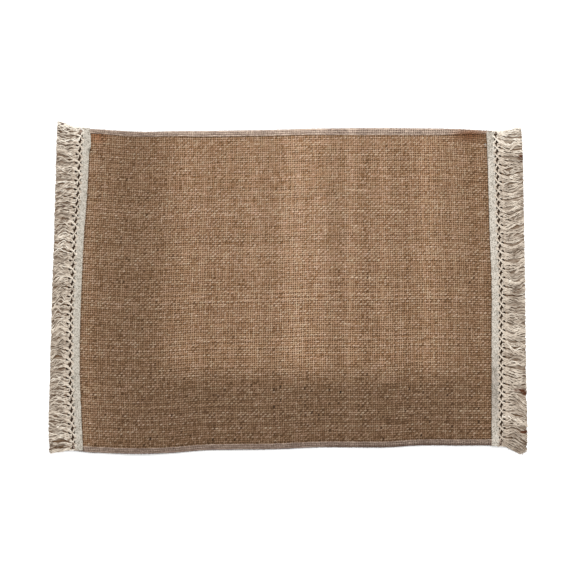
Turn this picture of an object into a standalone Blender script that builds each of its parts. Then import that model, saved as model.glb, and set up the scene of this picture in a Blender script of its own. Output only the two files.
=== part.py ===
"""Fringed jute placemat, 30 x 45 cm, lying flat on a table.

A woven jute panel with overlocked long edges, and a cotton fringe trim sewn over each
short end. A trim is a narrow tape, a row of crossed cords and a cut fringe. Metres, +Z up,
origin at the middle of the underside, long side along X, far long edge at +Y.
"""
from bisect import bisect_right
from collections import namedtuple
import math
import random

import bmesh
import bpy

# ---- driving dimensions ------------------------------------------------------------------
CLOTH_THICKNESS = 0.0017
PIECE_GAP = 0.0003

# Overlocked band along the two long edges: distance in from the edge, height of the top.
RimRow = namedtuple("RimRow", "inset top")
RIM_ROWS = (
    RimRow(0.0000, 0.0010),
    RimRow(0.0007, 0.0020),
    RimRow(0.0052, 0.0020),
    RimRow(0.0060, CLOTH_THICKNESS),
)
INNER_ROW_INSET = 0.0260

# Long edges of the panel, drawn in at places by the sewing, and where the near edge lifts.
EdgeStation = namedtuple("EdgeStation", "x far_y near_y near_lift")
EDGE_STATIONS = (
    EdgeStation(-0.2060, 0.1518, -0.1546, 0.0000),
    EdgeStation(-0.1900, 0.1526, -0.1570, 0.0000),
    EdgeStation(-0.1700, 0.1514, -0.1580, 0.0004),
    EdgeStation(-0.1400, 0.1498, -0.1588, 0.0016),
    EdgeStation(-0.1100, 0.1504, -0.1580, 0.0004),
    EdgeStation(-0.0800, 0.1504, -0.1556, 0.0000),
    EdgeStation(-0.0450, 0.1508, -0.1550, 0.0000),
    EdgeStation(-0.0100, 0.1515, -0.1545, 0.0000),
    EdgeStation(0.0300, 0.1528, -0.1527, 0.0000),
    EdgeStation(0.0900, 0.1534, -0.1527, 0.0000),
    EdgeStation(0.1250, 0.1532, -0.1509, 0.0000),
    EdgeStation(0.1600, 0.1527, -0.1509, 0.0000),
    EdgeStation(0.1900, 0.1512, -0.1510, 0.0000),
    EdgeStation(0.2060, 0.1506, -0.1512, 0.0000),
)
PANEL_COLUMNS = 22
PANEL_COLUMNS_HALF_SPAN = 0.1800

# Each trim: inner edge of the tape, cut tips of the fringe, and how far the tips lean in Y.
TrimStation = namedtuple("TrimStation", "y tape_x tip_x lean")
LEFT_TRIM = (
    TrimStation(-0.1560, 0.1926, 0.2250, -0.0014),
    TrimStation(-0.1330, 0.1942, 0.2261, 0.0000),
    TrimStation(-0.1100, 0.1956, 0.2260, -0.0010),
    TrimStation(-0.0880, 0.1969, 0.2257, -0.0010),
    TrimStation(-0.0650, 0.1974, 0.2258, -0.0020),
    TrimStation(-0.0420, 0.1976, 0.2255, -0.0020),
    TrimStation(0.0030, 0.1968, 0.2253, -0.0010),
    TrimStation(0.0490, 0.1954, 0.2246, 0.0005),
    TrimStation(0.0720, 0.1940, 0.2246, -0.0010),
    TrimStation(0.0960, 0.1927, 0.2244, 0.0000),
    TrimStation(0.1190, 0.1921, 0.2242, 0.0010),
    TrimStation(0.1400, 0.1916, 0.2241, 0.0018),
    TrimStation(0.1535, 0.1913, 0.2238, 0.0061),
)
RIGHT_TRIM = (
    TrimStation(-0.1520, 0.1912, 0.2240, -0.0062),
    TrimStation(-0.1330, 0.1916, 0.2249, -0.0035),
    TrimStation(-0.0880, 0.1924, 0.2248, -0.0040),
    TrimStation(-0.0420, 0.1932, 0.2252, -0.0020),
    TrimStation(0.0030, 0.1940, 0.2258, 0.0010),
    TrimStation(0.0490, 0.1930, 0.2258, 0.0040),
    TrimStation(0.0840, 0.1926, 0.2260, 0.0040),
    TrimStation(0.1190, 0.1923, 0.2261, 0.0020),
    TrimStation(0.1350, 0.1920, 0.2259, 0.0002),
    TrimStation(0.1510, 0.1914, 0.2254, 0.0016),
)

# Across a trim, measured outwards from the tape's inner edge.
TAPE_WIDTH = 0.0066
CROSSING_ROW_END = 0.0110
FRINGE_ROOT = 0.0146
PANEL_REACH = 0.0142
TAPE_THICKNESS = 0.0010
KNOT_RISE = 0.0007

# The openwork: repeats along a trim, and the slanting gaps on either side of the knots.
REPEATS = 36
PITCH = 0.0086
Gap = namedtuple("Gap", "middle length width slant")
INNER_GAP = Gap(0.0088, 0.0052, 0.0019, math.radians(64.0))
OUTER_GAP = Gap(0.0124, 0.0037, 0.0015, math.radians(-32.0))
GAP_FRAME = 0.0007

# The fringe: locks in each half repeat, and their sections from the root to the cut tip.
LOCKS_PER_HALF_REPEAT = 2
LOCK_SPACE_SHARE = 0.26
LockStation = namedtuple("LockStation", "reach base height width")
LOCK_STATIONS = (
    LockStation(0.24, 0.0003, 0.0016, 0.0016),
    LockStation(0.62, 0.0000, 0.0017, 0.0015),
    LockStation(1.00, 0.0000, 0.0014, 0.0012),
)
LOCK_SHORTENING = 0.04
LOCK_FLATTENING = 0.30
LOCK_SEED = 11
LEAN_POWER = 1.4
SWAY = 0.0007
SWAY_REPEATS = 5.3
SWAY_TURN = 4.0

# Finishes: base colour (linear), roughness.
JUTE = ((0.290, 0.196, 0.127, 1.0), 0.92)
COTTON = ((0.470, 0.400, 0.310, 1.0), 0.90)


# ---- helpers -----------------------------------------------------------------------------
def clear_scene():
    for item in list(bpy.data.objects):
        bpy.data.objects.remove(item, do_unlink=True)


def fabric(name, finish):
    """A plain Principled fabric material."""
    colour, roughness = finish
    material = bpy.data.materials.new(name)
    material.use_nodes = True
    shader = material.node_tree.nodes["Principled BSDF"]
    shader.inputs["Base Color"].default_value = colour
    shader.inputs["Roughness"].default_value = roughness
    shader.inputs["Metallic"].default_value = 0.0
    material.diffuse_color = colour
    return material


def make_object(name, bm, material):
    """Turn the bmesh into a named object of one closed solid."""
    bmesh.ops.recalc_face_normals(bm, faces=bm.faces)
    if bm.calc_volume(signed=True) < 0.0:
        bmesh.ops.reverse_faces(bm, faces=bm.faces)
    mesh = bpy.data.meshes.new(name)
    bm.to_mesh(mesh)
    bm.free()
    mesh.materials.append(material)
    item = bpy.data.objects.new(name, mesh)
    bpy.context.scene.collection.objects.link(item)
    return item


def station_value(stations, key, column, at):
    """One column of a station table, on a smooth curve through its rows."""
    keys = [getattr(row, key) for row in stations]
    values = [getattr(row, column) for row in stations]
    if at <= keys[0]:
        return values[0]
    if at >= keys[-1]:
        return values[-1]

    def slope(row):
        before = max(row - 1, 0)
        after = min(row + 1, len(keys) - 1)
        return (values[after] - values[before]) / (keys[after] - keys[before])

    row = bisect_right(keys, at) - 1
    span = keys[row + 1] - keys[row]
    t = (at - keys[row]) / span
    ease = t * t * (3.0 - 2.0 * t)
    leave = t * (1.0 - t) ** 2 * span * slope(row)
    arrive = t * t * (t - 1.0) * span * slope(row + 1)
    return values[row] + ease * (values[row + 1] - values[row]) + leave + arrive


# ---- the jute panel ----------------------------------------------------------------------
def panel_columns(y):
    """X of each grid column at a given Y: the two ends follow the trims."""
    left = station_value(LEFT_TRIM, "y", "tape_x", y)
    right = station_value(RIGHT_TRIM, "y", "tape_x", y)
    step = 2.0 * PANEL_COLUMNS_HALF_SPAN / (PANEL_COLUMNS - 1)
    middle = [-PANEL_COLUMNS_HALF_SPAN + step * i for i in range(PANEL_COLUMNS)]
    under_tape = 0.001
    before_tape = 0.003
    first = [-left - PANEL_REACH, -left + under_tape, -left + before_tape]
    last = [right - before_tape, right - under_tape, right + PANEL_REACH]
    return first + middle + last


def panel_rows(x):
    """Y, rise and top height of each grid row at a given X, from the near edge to the far."""
    near = station_value(EDGE_STATIONS, "x", "near_y", x)
    far = station_value(EDGE_STATIONS, "x", "far_y", x)
    lift = max(station_value(EDGE_STATIONS, "x", "near_lift", x), 0.0)
    near_rim = [(near + row.inset, lift, row.top) for row in RIM_ROWS]
    far_rim = [(far - row.inset, 0.0, row.top) for row in reversed(RIM_ROWS)]
    inner = [
        (near + INNER_ROW_INSET, 0.0, CLOTH_THICKNESS),
        ((near + far) / 2.0, 0.0, CLOTH_THICKNESS),
        (far - INNER_ROW_INSET, 0.0, CLOTH_THICKNESS),
    ]
    return near_rim + inner + far_rim


def make_panel(material):
    """The jute cloth: a sheet with a slightly thicker overlocked band on its long edges."""
    last_column = len(panel_columns(0.0)) - 1
    last_row = len(panel_rows(0.0)) - 1
    bm = bmesh.new()
    bmesh.ops.create_grid(bm, x_segments=last_column, y_segments=last_row, size=1.0)
    top_of = bm.verts.layers.float.new("top")
    for vert in bm.verts:
        column = round((vert.co.x + 1.0) / 2.0 * last_column)
        row = round((vert.co.y + 1.0) / 2.0 * last_row)
        straight_x = panel_columns(0.0)[column]
        x = panel_columns(panel_rows(straight_x)[row][0])[column]
        y, rise, top = panel_rows(x)[row]
        under_trim = column < 2 or column > last_column - 2
        vert.co = (x, y, rise)
        vert[top_of] = min(top, CLOTH_THICKNESS) if under_trim else top
    upper = bmesh.ops.extrude_face_region(bm, geom=list(bm.faces))["geom"]
    for vert in [item for item in upper if isinstance(item, bmesh.types.BMVert)]:
        vert.co.z += vert[top_of]
    bm.verts.layers.float.remove(top_of)
    return make_object("cloth_panel", bm, material)


# ---- a fringe trim -----------------------------------------------------------------------
def is_at(value, target):
    """Whether two lengths, or two counts of repeats, are the same but for rounding."""
    return abs(value - target) < 2.0e-5


def trim_grid(bm):
    """A flat strip of tape, crossing row and outer row, split at each half repeat."""
    columns = (0.0, TAPE_WIDTH, CROSSING_ROW_END, FRINGE_ROOT)
    half_repeats = 2 * REPEATS
    bmesh.ops.create_grid(bm, x_segments=len(columns) - 1, y_segments=half_repeats, size=1.0)
    for vert in bm.verts:
        column = round((vert.co.x + 1.0) / 2.0 * (len(columns) - 1))
        row = round((vert.co.y + 1.0) / 2.0 * half_repeats)
        vert.co = (columns[column], row * PITCH / 2.0, 0.0)


def across_edges(bm, inner, outer, first, stop):
    """Edges that cross the strip from u = inner to outer, at every repeat from the first."""
    wanted = [first + PITCH * i for i in range(REPEATS + 1) if first + PITCH * i < stop]
    found = []
    for edge in bm.edges:
        ends = sorted((edge.verts[0].co, edge.verts[1].co), key=lambda co: co.x)
        spans = is_at(ends[0].x, inner) and is_at(ends[1].x, outer)
        if spans and any(is_at(ends[0].y, at) for at in wanted):
            found.append(edge)
    return found


def cut_gap(face, gap):
    """Move the inset face's points onto a slanting oval."""
    middle_v = face.calc_center_bounds().y
    centre_u = face.calc_center_bounds().x
    for vert in face.verts:
        angle = math.atan2(vert.co.y - middle_v, vert.co.x - centre_u) - gap.slant
        along = gap.length / 2.0 * math.cos(angle)
        aside = gap.width / 2.0 * math.sin(angle)
        u = gap.middle + along * math.cos(gap.slant) - aside * math.sin(gap.slant)
        v = middle_v + along * math.sin(gap.slant) + aside * math.cos(gap.slant)
        vert.co = (u, v, 0.0)


def cut_openwork(bm):
    """Cut the slanting gaps inside and outside the row of crossed cords."""
    length = REPEATS * PITCH
    inner_joins = across_edges(bm, TAPE_WIDTH, CROSSING_ROW_END, PITCH / 2.0, length)
    outer_joins = across_edges(bm, CROSSING_ROW_END, FRINGE_ROOT, PITCH, length - PITCH / 2.0)
    bmesh.ops.dissolve_edges(bm, edges=inner_joins + outer_joins, use_verts=False)
    crossings = across_edges(bm, TAPE_WIDTH, CROSSING_ROW_END, PITCH, length - PITCH / 2.0)
    for edge in crossings:
        bmesh.utils.edge_split(edge, edge.verts[0], 0.5)
    inner_cells = []
    outer_cells = []
    for face in bm.faces:
        middle = face.calc_center_bounds()
        whole = len(face.verts) > 5
        if whole and TAPE_WIDTH < middle.x < CROSSING_ROW_END:
            inner_cells.append(face)
        elif whole and middle.x > CROSSING_ROW_END:
            outer_cells.append(face)
    bmesh.ops.inset_individual(
        bm, faces=inner_cells + outer_cells, thickness=GAP_FRAME, use_even_offset=True)
    for face in inner_cells:
        cut_gap(face, INNER_GAP)
    for face in outer_cells:
        cut_gap(face, OUTER_GAP)
    bmesh.ops.delete(bm, geom=inner_cells + outer_cells, context="FACES_ONLY")


def split_fringe_root(bm):
    """Divide the outer edge into lock roots and the narrow spaces between them."""
    root_edges = [edge for edge in bm.edges
                  if all(is_at(vert.co.x, FRINGE_ROOT) for vert in edge.verts)]
    lock_pitch = PITCH / 2.0 / LOCKS_PER_HALF_REPEAT
    lock_width = lock_pitch * (1.0 - LOCK_SPACE_SHARE)
    for edge in root_edges:
        start = min(edge.verts, key=lambda vert: vert.co.y)
        end_v = edge.other_vert(start).co.y
        cuts = [start.co.y + lock_width]
        for lock in range(1, LOCKS_PER_HALF_REPEAT):
            cuts += [start.co.y + lock * lock_pitch, start.co.y + lock * lock_pitch + lock_width]
        for cut_v in cuts:
            share = (cut_v - start.co.y) / (end_v - start.co.y)
            edge, middle = bmesh.utils.edge_split(edge, start, share)
            start = middle
            edge = next(e for e in middle.link_edges
                        if is_at(e.other_vert(middle).co.y, end_v)
                        and is_at(e.other_vert(middle).co.x, FRINGE_ROOT))


def grow_locks(bm):
    """Extrude each lock root outwards, down to the table and along it."""
    roots = []
    shortest = PITCH / 2.0 / LOCKS_PER_HALF_REPEAT * 0.5
    for face in bm.faces:
        on_wall = all(is_at(vert.co.x, FRINGE_ROOT) for vert in face.verts)
        width = max(v.co.y for v in face.verts) - min(v.co.y for v in face.verts)
        if on_wall and width > shortest:
            roots.append(face)
    lock_pitch = PITCH / 2.0 / LOCKS_PER_HALF_REPEAT
    chance = random.Random(LOCK_SEED)
    uneven = []
    for _ in range(2 * REPEATS * LOCKS_PER_HALF_REPEAT):
        uneven.append((1.0 - LOCK_SHORTENING * chance.random(),
                       1.0 - LOCK_FLATTENING * chance.random()))
    faces = roots
    for station in LOCK_STATIONS:
        grown = bmesh.ops.extrude_discrete_faces(bm, faces=faces)["faces"]
        for face in grown:
            middle = face.calc_center_bounds()
            length_share, height_share = uneven[int(middle.y / lock_pitch)]
            for vert in face.verts:
                side = 1.0 if vert.co.y > middle.y else -1.0
                rise = station.height * height_share if vert.co.z > middle.z else 0.0
                vert.co.x = FRINGE_ROOT + station.reach * length_share
                vert.co.y = middle.y + side * station.width / 2.0
                vert.co.z = station.base + rise
        faces = grown


def lay_trim(bm, side, stations):
    """Bend the straight strip to the trim's own line on the cloth."""
    near = stations[0].y
    far = stations[-1].y
    length = REPEATS * PITCH
    for vert in bm.verts:
        u, v, z = vert.co
        share = v / length if side > 0.0 else 1.0 - v / length
        root_y = near + (far - near) * share
        tape_x = station_value(stations, "y", "tape_x", root_y)
        if u <= FRINGE_ROOT + 1.0e-5:
            vert.co = (side * (tape_x + u), root_y, z)
            continue
        reach = u - FRINGE_ROOT
        tip_x = station_value(stations, "y", "tip_x", root_y)
        lean = station_value(stations, "y", "lean", root_y) * reach ** LEAN_POWER
        turn = math.tau * v / PITCH / SWAY_REPEATS + SWAY_TURN * reach
        sway = SWAY * reach * math.sin(turn)
        x = tape_x + FRINGE_ROOT + reach * (tip_x - tape_x - FRINGE_ROOT)
        vert.co = (side * x, root_y + lean + sway, z)


def make_trim(name, side, stations, material):
    """One trim: tape, openwork and fringe in one piece, on the cloth's short end."""
    bm = bmesh.new()
    trim_grid(bm)
    cut_openwork(bm)
    split_fringe_root(bm)
    base = CLOTH_THICKNESS + PIECE_GAP
    for vert in bm.verts:
        vert.co.z = base
    upper = bmesh.ops.extrude_face_region(bm, geom=list(bm.faces))["geom"]
    knot_u = (TAPE_WIDTH + CROSSING_ROW_END) / 2.0
    for vert in [item for item in upper if isinstance(item, bmesh.types.BMVert)]:
        vert.co.z += TAPE_THICKNESS
        repeats = vert.co.y / PITCH
        if is_at(vert.co.x, knot_u) and is_at(repeats, round(repeats)):
            vert.co.z += KNOT_RISE
    grow_locks(bm)
    lay_trim(bm, side, stations)
    return make_object(name, bm, material)


clear_scene()
make_panel(fabric("jute", JUTE))
cotton = fabric("cotton", COTTON)
make_trim("fringe_trim_left", -1.0, LEFT_TRIM, cotton)
make_trim("fringe_trim_right", 1.0, RIGHT_TRIM, cotton)
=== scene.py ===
"""Fringed jute placemat, dressed: woven yarns, overlock thread, tape, openwork and fringe."""
from bisect import bisect_right
from collections import namedtuple
from functools import cache
import math
import random

import bmesh
import bpy
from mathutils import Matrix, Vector, noise


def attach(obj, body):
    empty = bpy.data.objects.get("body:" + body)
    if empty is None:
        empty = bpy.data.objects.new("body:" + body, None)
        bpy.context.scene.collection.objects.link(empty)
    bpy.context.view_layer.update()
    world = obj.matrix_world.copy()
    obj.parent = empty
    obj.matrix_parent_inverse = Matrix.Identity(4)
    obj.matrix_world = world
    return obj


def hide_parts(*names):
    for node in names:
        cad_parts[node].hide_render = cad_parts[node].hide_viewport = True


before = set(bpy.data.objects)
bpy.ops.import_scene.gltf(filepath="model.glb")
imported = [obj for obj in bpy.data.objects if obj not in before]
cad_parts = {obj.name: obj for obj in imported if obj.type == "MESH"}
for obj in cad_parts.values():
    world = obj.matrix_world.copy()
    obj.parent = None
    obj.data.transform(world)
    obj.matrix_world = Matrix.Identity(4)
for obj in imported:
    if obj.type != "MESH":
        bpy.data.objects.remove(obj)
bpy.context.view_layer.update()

# ---- Cloth core --------------------------------------------------------------------------
# The jute panel is one cut rectangle whose long edges are drawn in a little by the
# overlocking. Its core is painted shade: a thin dark sheet half way up the cloth that stands
# for the shade inside the weave, seen only in the pits between the yarns.
EdgeStation = namedtuple("EdgeStation", "x far_y near_y near_lift")
LONG_EDGES = tuple(EdgeStation(*row) for row in (
    (-0.2060, 0.1512, -0.1540, 0.0000),
    (-0.1900, 0.1520, -0.1563, 0.0000),
    (-0.1700, 0.1508, -0.1572, 0.0004),
    (-0.1400, 0.1493, -0.1579, 0.0016),
    (-0.1100, 0.1500, -0.1571, 0.0004),
    (-0.0800, 0.1502, -0.1547, 0.0000),
    (-0.0450, 0.1508, -0.1541, 0.0000),
    (-0.0100, 0.1514, -0.1536, 0.0000),
    (0.0300, 0.1526, -0.1519, 0.0000),
    (0.0900, 0.1531, -0.1520, 0.0000),
    (0.1250, 0.1529, -0.1501, 0.0000),
    (0.1600, 0.1522, -0.1502, 0.0000),
    (0.1900, 0.1504, -0.1502, 0.0000),
    (0.2060, 0.1500, -0.1504, 0.0000),
))
TrimStation = namedtuple("TrimStation", "y tape_x tip_x lean")
LEFT_TRIM = tuple(TrimStation(*row) for row in (
    (-0.1555, 0.1926, 0.2250, -0.0018),
    (-0.1330, 0.1942, 0.2261, 0.0000),
    (-0.1100, 0.1956, 0.2260, -0.0010),
    (-0.0880, 0.1969, 0.2257, -0.0010),
    (-0.0650, 0.1974, 0.2258, -0.0020),
    (-0.0420, 0.1976, 0.2255, -0.0020),
    (0.0030, 0.1968, 0.2253, -0.0010),
    (0.0490, 0.1954, 0.2246, 0.0005),
    (0.0720, 0.1940, 0.2246, -0.0010),
    (0.0960, 0.1927, 0.2244, 0.0000),
    (0.1190, 0.1921, 0.2242, 0.0010),
    (0.1400, 0.1916, 0.2241, 0.0018),
    (0.1535, 0.1913, 0.2238, 0.0052),
))
RIGHT_TRIM = tuple(TrimStation(*row) for row in (
    (-0.1514, 0.1912, 0.2240, -0.0040),
    (-0.1330, 0.1916, 0.2249, -0.0027),
    (-0.0880, 0.1924, 0.2248, -0.0030),
    (-0.0420, 0.1932, 0.2252, -0.0012),
    (0.0030, 0.1940, 0.2258, 0.0020),
    (0.0490, 0.1930, 0.2258, 0.0048),
    (0.0840, 0.1926, 0.2260, 0.0044),
    (0.1190, 0.1923, 0.2261, 0.0020),
    (0.1350, 0.1920, 0.2259, 0.0002),
    (0.1500, 0.1914, 0.2254, 0.0012),
))
MEAN_HALF_LENGTH = 0.2085
MEAN_HALF_DEPTH = 0.1530
PANEL_REACH = 0.0142        # how far the cloth runs out under the trim
CLOTH_MIDDLE_Z = 0.00085
CORE_THICKNESS = 0.00016
CORE_MARGIN = 0.0012
CORE_COLUMNS = 60
CORE_ROWS = 44
LIFT_DEPTH = 0.026          # how far in the lifted stretch of the near edge reaches
RIPPLE_HEIGHT = 0.0004
RIPPLE_ACROSS = 9.0         # ripples per metre along X and Y
RIPPLE_ALONG = 15.0
RIPPLE_LAYER = 0.4
# Painted shade inside the weave: the core's dark brown and the lighter brown of its speckle.
CORE_DARK = (0.038, 0.019, 0.008, 1.0)
CORE_LIGHTER_SHADE = (0.110, 0.062, 0.030, 1.0)


@cache
def station_value(stations, column, at):
    """One column of a station table, on a smooth curve along its first column."""
    keys = [row[0] for row in stations]
    values = [getattr(row, column) for row in stations]
    if at <= keys[0]:
        return values[0]
    if at >= keys[-1]:
        return values[-1]

    def slope(row):
        before = max(row - 1, 0)
        after = min(row + 1, len(keys) - 1)
        return (values[after] - values[before]) / (keys[after] - keys[before])

    row = bisect_right(keys, at) - 1
    span = keys[row + 1] - keys[row]
    t = (at - keys[row]) / span
    ease = t * t * (3.0 - 2.0 * t)
    leave = t * (1.0 - t) ** 2 * span * slope(row)
    arrive = t * t * (t - 1.0) * span * slope(row + 1)
    return values[row] + ease * (values[row + 1] - values[row]) + leave + arrive


@cache
def long_edges_at(s):
    """Near and far Y of the cloth, and the near edge's lift, a share s along from the left."""
    x = (2.0 * s - 1.0) * MEAN_HALF_LENGTH
    near = station_value(LONG_EDGES, "near_y", x)
    far = station_value(LONG_EDGES, "far_y", x)
    return near, far, max(station_value(LONG_EDGES, "near_lift", x), 0.0)


@cache
def short_edges_at(t):
    """Left and right X of the cloth, a share t of the way from the near edge to the far."""
    y = (2.0 * t - 1.0) * MEAN_HALF_DEPTH
    left = station_value(LEFT_TRIM, "tape_x", y) + PANEL_REACH
    right = station_value(RIGHT_TRIM, "tape_x", y) + PANEL_REACH
    return -left, right


def uneven(first, second, layer):
    """Smooth noise about 0, at a place in one layer of it."""
    return noise.noise(Vector((first, second, layer)))


def ripple_height(x, y):
    """How far the cloth ripples up off the table at a place."""
    ripple = 0.5 + uneven(x * RIPPLE_ACROSS, y * RIPPLE_ALONG, RIPPLE_LAYER)
    return RIPPLE_HEIGHT * max(ripple, 0.0)


def on_cloth(s, t):
    """The point of the cloth's middle surface at grain shares s along and t across."""
    near, far, lift = long_edges_at(s)
    left, right = short_edges_at(t)
    x = left + (right - left) * s
    y = near + (far - near) * t
    rise = lift * max(1.0 - (y - near) / LIFT_DEPTH, 0.0)
    return Vector((x, y, CLOTH_MIDDLE_Z + rise + ripple_height(x, y)))


class Socket:
    """A node's output. Arithmetic on it adds Math nodes to the same finish."""

    def __init__(self, finish, output):
        self.finish = finish
        self.output = output

    def maths(self, operation, first, second):
        return self.finish.node("ShaderNodeMath", {"operation": operation}, {0: first, 1: second})

    def __add__(self, other):
        return self.maths("ADD", self, other)

    def __radd__(self, other):
        return self.maths("ADD", other, self)

    def __sub__(self, other):
        return self.maths("SUBTRACT", self, other)

    def __mul__(self, other):
        return self.maths("MULTIPLY", self, other)

    def __rmul__(self, other):
        return self.maths("MULTIPLY", other, self)


class Finish:
    """A Principled material that is built up node by node."""

    SPECULAR_LEVEL = 0.2    # cloth and thread are matt

    def __init__(self, name, roughness):
        self.material = bpy.data.materials.new(name)
        self.material.use_nodes = True
        self.tree = self.material.node_tree
        self.surface = self.tree.nodes["Principled BSDF"].inputs
        self.surface["Roughness"].default_value = roughness
        self.surface["Specular IOR Level"].default_value = self.SPECULAR_LEVEL

    def feed(self, socket, value):
        """Link a Socket to a node's input, or set the input to a plain value."""
        if isinstance(value, Socket):
            self.tree.links.new(value.output, socket)
        else:
            socket.default_value = value

    def node(self, kind, settings, inputs, output=0):
        """Add a node: its settings are set first, then its sockets' values or links."""
        made = self.tree.nodes.new(kind)
        for key, value in settings.items():
            setattr(made, key, value)
        for key, value in inputs.items():
            self.feed(made.inputs[key], value)
        return Socket(self, made.outputs[output])

    def coloured(self, colour):
        """Give the surface its colour."""
        self.feed(self.surface["Base Color"], colour)

    def attribute(self, name):
        """A number that the mesh holds at each of its points."""
        return self.node("ShaderNodeAttribute", {"attribute_name": name}, {}, output=2)

    def grain(self, scale, detail, stretch=(1.0, 1.0, 1.0)):
        """Fine noise on the object's own coordinates, about 0.5 on average."""
        place = self.node("ShaderNodeTexCoord", {}, {}, output=3)
        spread = self.node("ShaderNodeMapping", {}, {"Vector": place, "Scale": stretch})
        return self.node("ShaderNodeTexNoise", {},
                         {"Vector": spread, "Scale": scale, "Detail": detail})

    def near(self, place, radius, length):
        """1 at a place in the object's coordinates, falling to 0 at the radius.

        The spot is length times as long in X as it is in Y.
        """
        squash = Vector((1.0 / length, 1.0, 1.0))
        spot = self.node("ShaderNodeTexCoord", {}, {}, output=3)
        spot = self.node("ShaderNodeVectorMath", {"operation": "MULTIPLY"}, {0: spot, 1: squash})
        gap = self.node("ShaderNodeVectorMath", {"operation": "DISTANCE"},
                        {0: spot, 1: Vector(place) * squash}, output=1)
        return self.node("ShaderNodeMapRange", {"interpolation_type": "SMOOTHSTEP"},
                         {"Value": gap, "From Min": radius, "From Max": 0.0})

    def marked(self, mark):
        """How far a mark hides what is under it. Stains, knots, patches and painted shade are
        marks.
        """
        return self.near(mark.place, mark.radius, mark.length) * mark.strength

    def mix(self, share, first, second):
        """A colour between two colours."""
        return self.node("ShaderNodeMix", {"data_type": "RGBA"},
                         {0: share, 6: first, 7: second}, output=2)

    def relief(self, height, distance):
        """Roughen the surface by a grain, up to a distance in metres."""
        bump = self.node("ShaderNodeBump", {}, {"Height": height, "Distance": distance})
        self.feed(self.surface["Normal"], bump)


def sheet_solid(name, columns, rows, place):
    """A closed thin sheet, its two sides laid by place(column share, row share, is_top)."""
    bm = bmesh.new()
    bmesh.ops.create_grid(bm, x_segments=columns, y_segments=rows, size=1.0)
    upper = bmesh.ops.extrude_face_region(bm, geom=list(bm.faces))["geom"]
    for vert in [item for item in upper if isinstance(item, bmesh.types.BMVert)]:
        vert.co.z = 1.0
    for vert in bm.verts:
        vert.co = place((vert.co.x + 1.0) / 2.0, (vert.co.y + 1.0) / 2.0, vert.co.z > 0.5)
    return finished_piece(name, bm)


def placed(name, data):
    """A new object in the scene, at the origin."""
    made = bpy.data.objects.new(name, data)
    bpy.context.scene.collection.objects.link(made)
    return made


def finished_piece(name, bm):
    """Write the bmesh to an object at the origin, smooth, with its faces pointing out."""
    bmesh.ops.recalc_face_normals(bm, faces=bm.faces)
    if bm.calc_volume(signed=True) < 0.0:
        bmesh.ops.reverse_faces(bm, faces=bm.faces)
    mesh = bpy.data.meshes.new(name)
    bm.to_mesh(mesh)
    bm.free()
    mesh.shade_smooth()
    return placed(name, mesh)


def core_point(s, t, is_top):
    """A point of the thin sheet, which stops a little short of the cloth's edges."""
    width = 2.0 * MEAN_HALF_LENGTH
    depth = 2.0 * MEAN_HALF_DEPTH
    inner_s = CORE_MARGIN / width + s * (1.0 - 2.0 * CORE_MARGIN / width)
    inner_t = CORE_MARGIN / depth + t * (1.0 - 2.0 * CORE_MARGIN / depth)
    point = on_cloth(inner_s, inner_t)
    point.z += CORE_THICKNESS * (0.5 if is_top else -0.5)
    return point


# The core sheet is painted shade, dark brown speckled with a lighter brown.
painted_shade_core = sheet_solid("painted_shade_core", CORE_COLUMNS, CORE_ROWS, core_point)
core_finish = Finish("jute shade", 0.95)
core_speckle = core_finish.grain(900.0, 2.0)
core_finish.coloured(core_finish.mix(core_speckle, CORE_DARK, CORE_LIGHTER_SHADE))
painted_shade_core.data.materials.append(core_finish.material)
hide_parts("cloth_panel")
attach(painted_shade_core, "root")

# ---- Jute yarns --------------------------------------------------------------------------
# Natural jute, spun coarse and woven over-one under-one, about twelve yarns to the inch.
# No two yarns are alike: they swell and thin along their length, wander a little, and run
# from straw to brown. Painted light lies in a pool over the middle of the cloth, in soft
# stripes; outside it the cloth is darker, towards the left, the right and the near side.
WARP_YARNS = 198            # run across the mat, side by side along X
WEFT_YARNS = 146            # run along the mat, side by side along Y
YARN_THICKNESS = 0.00080
YARN_WIDTHS = (0.82, 1.12)  # the finest and the coarsest yarn beside the usual one
YARN_WANDER = 0.00050
YARN_SKEW = 0.00070         # how far the twist pushes each crown aslant
OVER_WIDTH = 1.05
UNDER_WIDTH = 0.86
CROWN_RISE = 0.62           # crown over a yarn's middle and sides under it, in thicknesses
SIDE_DROP = 0.38
SLUB_RUN = 0.11             # how fast a yarn changes from one crossing to the next
WANDER_RUN = 0.13
FLECK_RUN = 0.9
FLECK_STRIDE = 3.1
SLUB_WIDTH = 0.36
SLUB_THICKNESS = 0.25
SLUB_TONE = 0.16
CLOUDS = (130.0, 75.0)      # how many lighter and darker spots lie along and across
CROSSING_TONE = 0.98
CLOUD_TONE = 0.24
# Painted light on a yarn where it crosses over, painted shade where it goes under.
OVER_TONE = 1.06
UNDER_TONE = 0.54
LEAST_TONE = 0.03
WEAVE_CONTRAST = 0.69
# Painted highlights on the crowns stand out less than the painted shade in the pits.
CROWN_SHARE = 0.44          # crowns stand out less than pits
PIT_SHARE = 1.3             # pits stand out more, the deeper they are
PIT_EASE = 0.3
# Painted shade on the cloth under the trim, which shows dark through the openwork.
UNDER_TRIM_SHADE = 0.22
TUCKED_MARGIN = 0.0008      # the cloth is that far under the tape before it is in shade
NOISE_SPAN = 90.0           # each yarn and strand has its own place in the noise
YARN_SEED = 5
WARP_FIBRES = (2600.0, 420.0, 1500.0)
WEFT_FIBRES = (420.0, 2600.0, 1500.0)
PINK_STRAW = (0.610, 0.406, 0.306, 1.0)
GREEN_STRAW = (0.515, 0.414, 0.272, 1.0)
# The brown of the painted shade in the pits.
PIT_SHADE_BROWN = (0.590, 0.292, 0.122, 1.0)
BLACK = (0.0, 0.0, 0.0, 1.0)
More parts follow.
